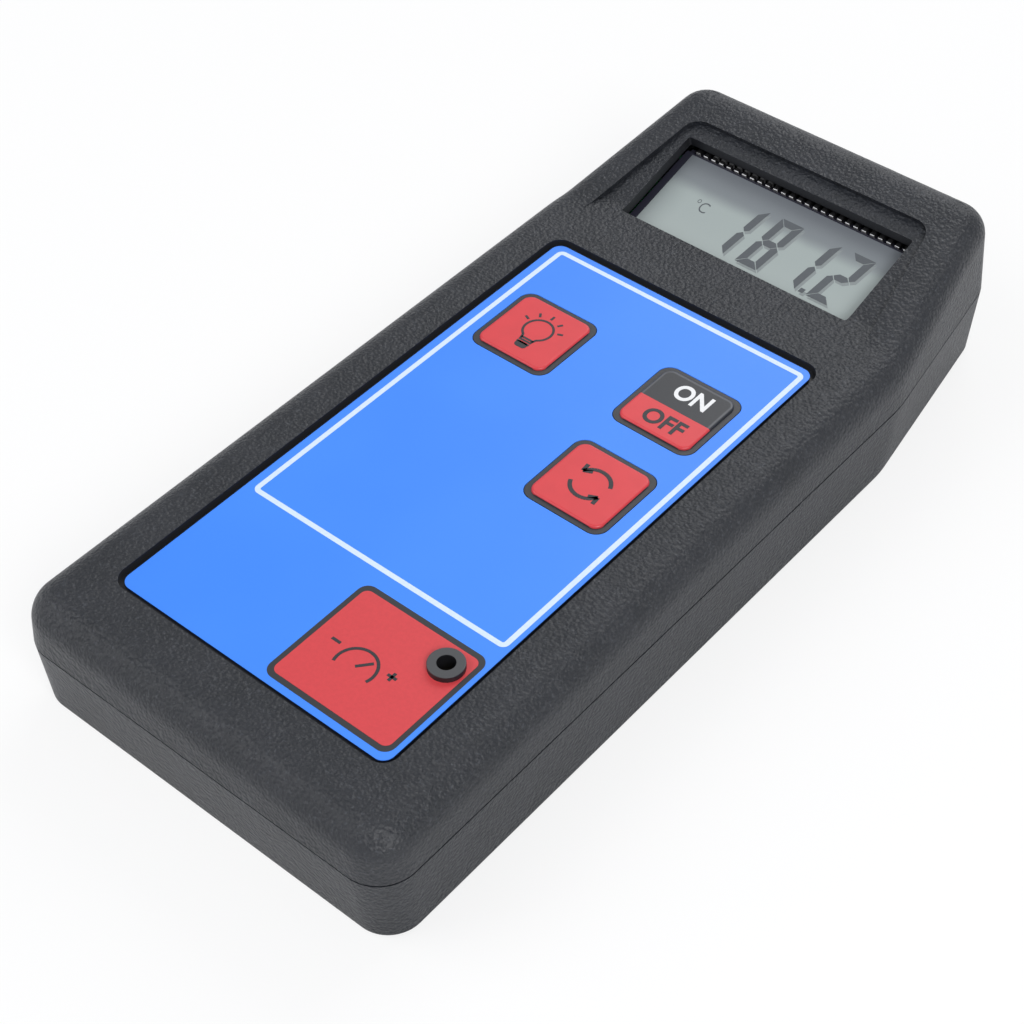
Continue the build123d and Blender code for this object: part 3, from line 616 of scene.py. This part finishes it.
def thin_shapes(name, outlines, level, thickness, mat, shift=(0.0, 0.0)):
    """Flat shapes lying on the display, each drawn from its corner points, as one piece."""
    pieces = []
    for outline in outlines:
        bpy.ops.object.select_all(action="DESELECT")
        bpy.ops.mesh.primitive_circle_add(vertices=len(outline), radius=MM, fill_type="NGON")
        obj = bpy.context.object
        for vertex, (px, py) in zip(obj.data.vertices, outline):
            vertex.co = ((px + shift[0]) * MM, (py + shift[1]) * MM, level * MM)
        bpy.ops.object.mode_set(mode="EDIT")
        thicken(thickness)
        pieces.append(obj)
    whole = joined(pieces)
    whole.data.transform(to_head)
    settle(whole, name, mat, "case")


lit_segments = []
for digit, left_edge in (("1", -9.45), ("8", -1.85), ("1", 6.55), ("2", 13.9)):
    lit_segments += digit_bars(digit, left_edge)
decimal_point = [(12.25, 5.7), (13.25, 5.7), (13.40, 6.7), (12.40, 6.7)]
lit_segments.append(decimal_point)
shadow_shift = (0.55, -0.5)
shadow_thickness, segment_rise, segment_thickness = 0.01, 0.012, 0.02
thin_shapes("display_digit_shadows", lit_segments, film_level, shadow_thickness, shadow_grey, shadow_shift)
thin_shapes("display_digits", lit_segments, film_level + segment_rise, segment_thickness, segment_grey)
word(
    "display_unit", "°C", (-14.7, 13.0), (2.9, 2.6), film_level, segment_grey, "case",
    weight=-0.02, tilt=to_head,
)

# Display pins
# Two rows of clip pins on the glass's long edges, stamped from thin plated sheet and dipped in
# black. Painted glints lie on the curled tips and on the backs of those at the left, where the
# material is pale, shinier and partly metallic.
pin_dip_colour, pin_glint_colour = (0.008, 0.008, 0.009), (0.36, 0.36, 0.37)
pin_metal, tree, shader, place = new_material("clip_pin_metal")
x, y, z = axes(tree, place)
up_slope = from_bend(tree, y, z, up_head)
# Painted glints: pale, shinier patches on the tips and on the backs of the left pins.
painted_tip_glints = calc(tree, "MULTIPLY", ramp(tree, up_slope, 23.75, 23.6), ramp(tree, up_slope, 23.3, 23.45))
left_back_glint_span = calc(tree, "MULTIPLY", ramp(tree, x, -5.0, -9.0), ramp(tree, x, -20.4, -20.2))
painted_back_glints = calc(tree, "MULTIPLY", ramp(tree, up_slope, 24.35, 24.45), left_back_glint_span)
painted_pin_glints = calc(tree, "MAXIMUM", painted_tip_glints, painted_back_glints)
put(tree, shader.inputs["Base Color"], mix(tree, painted_pin_glints, pin_dip_colour, pin_glint_colour))
put(tree, shader.inputs["Metallic"], calc(tree, "MULTIPLY", painted_pin_glints, 0.6))
put(tree, shader.inputs["Roughness"], ramp(tree, painted_pin_glints, 0.0, 1.0, 0.5, 0.22))
dress("lcd_pins", pin_metal)


# Inner pieces and screws
# Two green circuit boards with black chips, sleeved cans and switches between them, a block
# battery with its snap cap and leads, and the socket with its leads. All are bought-in pieces.
def plain(name, colour, rough, metal=0.0):
    """A plain moulded, sleeved or plated finish with slight unevenness."""
    mat, tree, shader, place = new_material(name)
    darker = tuple(c * 0.85 for c in colour)
    put(tree, shader.inputs["Base Color"], mix(tree, unevenness(tree, place, 1.5), darker, colour))
    matt = unevenness(tree, place, 3.0, detail=2, rough=0.5, start=rough - 0.05, end=rough + 0.05)
    put(tree, shader.inputs["Roughness"], matt)
    shader.inputs["Metallic"].default_value = metal
    bump(tree, shader, noise(tree, place, 4.5, detail=3, rough=0.6), 0.08, 0.04 * MM)
    return mat


inner_finishes = {
    ("main_board", "display_board"): plain("board_resist", (0.020, 0.180, 0.060), 0.35),
    ("converter_chip", "amplifier_chip"): plain("chip_moulding", (0.022, 0.022, 0.023), 0.55),
    ("capacitors",): plain("can_sleeve", (0.020, 0.035, 0.110), 0.30),
    ("crystal",): plain("steel_can", (0.560, 0.560, 0.570), 0.28, metal=1.0),
    ("light_switch", "power_switch", "mode_switch"): plain("switch_moulding", (0.020, 0.020, 0.020), 0.5),
    ("light_plunger", "power_plunger", "mode_plunger"): plain(
        "plunger_moulding", (0.050, 0.050, 0.052), 0.45,
    ),
    ("trimmer_body",): plain("trimmer_moulding", (0.020, 0.090, 0.380), 0.35),
    ("trimmer_rotor",): plain("trimmer_brass", (0.720, 0.520, 0.220), 0.32, metal=1.0),
    ("backlight",): plain("light_guide", (0.560, 0.620, 0.540), 0.30),
    ("ribbon_cable",): plain("flat_cable", (0.330, 0.330, 0.340), 0.5),
    ("battery",): plain("battery_wrap", (0.060, 0.062, 0.070), 0.38),
    ("battery_snap",): plain("snap_moulding", (0.018, 0.018, 0.018), 0.5),
    ("battery_leads",): plain("lead_insulation", (0.420, 0.030, 0.030), 0.42),
    ("socket_leads",): plain("socket_lead_insulation", (0.260, 0.260, 0.270), 0.42),
    ("probe_socket",): plain("socket_moulding", (0.020, 0.020, 0.022), 0.42),
    ("socket_nut",): plain("nut_plating", (0.640, 0.640, 0.640), 0.22, metal=1.0),
    ("board_screws",): plain("screw_zinc", (0.560, 0.560, 0.560), 0.32, metal=1.0),
    ("case_screws",): plain("screw_black_plate", (0.160, 0.160, 0.165), 0.36, metal=1.0),
}
for names, mat in inner_finishes.items():
    for name in names:
        dress(name, mat)

# Studio
# A plain white table and surround. Both look white to the camera, while the table still takes the
# meter's shadow, and three large soft lamps light it from above.
floor_drop = 0.0002
floor_glow_share = 0.75
bpy.ops.object.select_all(action="DESELECT")
bpy.ops.mesh.primitive_plane_add(size=6, location=(0, 0, -floor_drop))
floor = bpy.context.object
floor.name = "studio_floor"
floor_white = bpy.data.materials.new("floor_white")
floor_white.use_nodes = True
tree = floor_white.node_tree
floor_shader = tree.nodes["Principled BSDF"]
floor_shader.inputs["Base Color"].default_value = (0.86, 0.86, 0.86, 1)
floor_shader.inputs["Roughness"].default_value = 0.9
glow = tree.nodes.new("ShaderNodeEmission")
glow.inputs["Strength"].default_value = 1.0
seen = tree.nodes.new("ShaderNodeLightPath").outputs["Is Camera Ray"]
blend = tree.nodes.new("ShaderNodeMixShader")
tree.links.new(calc(tree, "MULTIPLY", seen, floor_glow_share), blend.inputs["Fac"])
tree.links.new(floor_shader.outputs["BSDF"], blend.inputs[1])
tree.links.new(glow.outputs["Emission"], blend.inputs[2])
tree.links.new(blend.outputs["Shader"], tree.nodes["Material Output"].inputs["Surface"])
floor.data.materials.append(floor_white)

world = bpy.data.worlds.new("studio")
bpy.context.scene.world = world
world.use_nodes = True
tree = world.node_tree
sky = tree.nodes["Background"]
sky.inputs["Color"].default_value = (0.72, 0.74, 0.78, 1)
sky.inputs["Strength"].default_value = 0.55
white = tree.nodes.new("ShaderNodeBackground")
white.inputs["Color"].default_value = (1, 1, 1, 1)
white.inputs["Strength"].default_value = 1.0
seen = tree.nodes.new("ShaderNodeLightPath").outputs["Is Camera Ray"]
blend = tree.nodes.new("ShaderNodeMixShader")
tree.links.new(seen, blend.inputs["Fac"])
tree.links.new(sky.outputs["Background"], blend.inputs[1])
tree.links.new(white.outputs["Background"], blend.inputs[2])
tree.links.new(blend.outputs["Shader"], tree.nodes["World Output"].inputs["Surface"])

lamp_aim = Vector((0.0, 0.0, 0.01))


def soft_lamp(name, place, size, watts):
    bpy.ops.object.light_add(type="AREA", location=place)
    lamp = bpy.context.object
    lamp.name = name
    lamp.data.shape = "SQUARE"
    lamp.data.size = size
    lamp.data.energy = watts
    lamp.rotation_euler = (lamp_aim - Vector(place)).to_track_quat("-Z", "Y").to_euler()


soft_lamp("key_lamp", (0.9, -0.5, 0.9), 0.6, 11)
soft_lamp("fill_lamp", (-0.8, -0.7, 0.9), 0.9, 6.5)
soft_lamp("back_lamp", (-0.2, 1.0, 0.8), 0.9, 6)
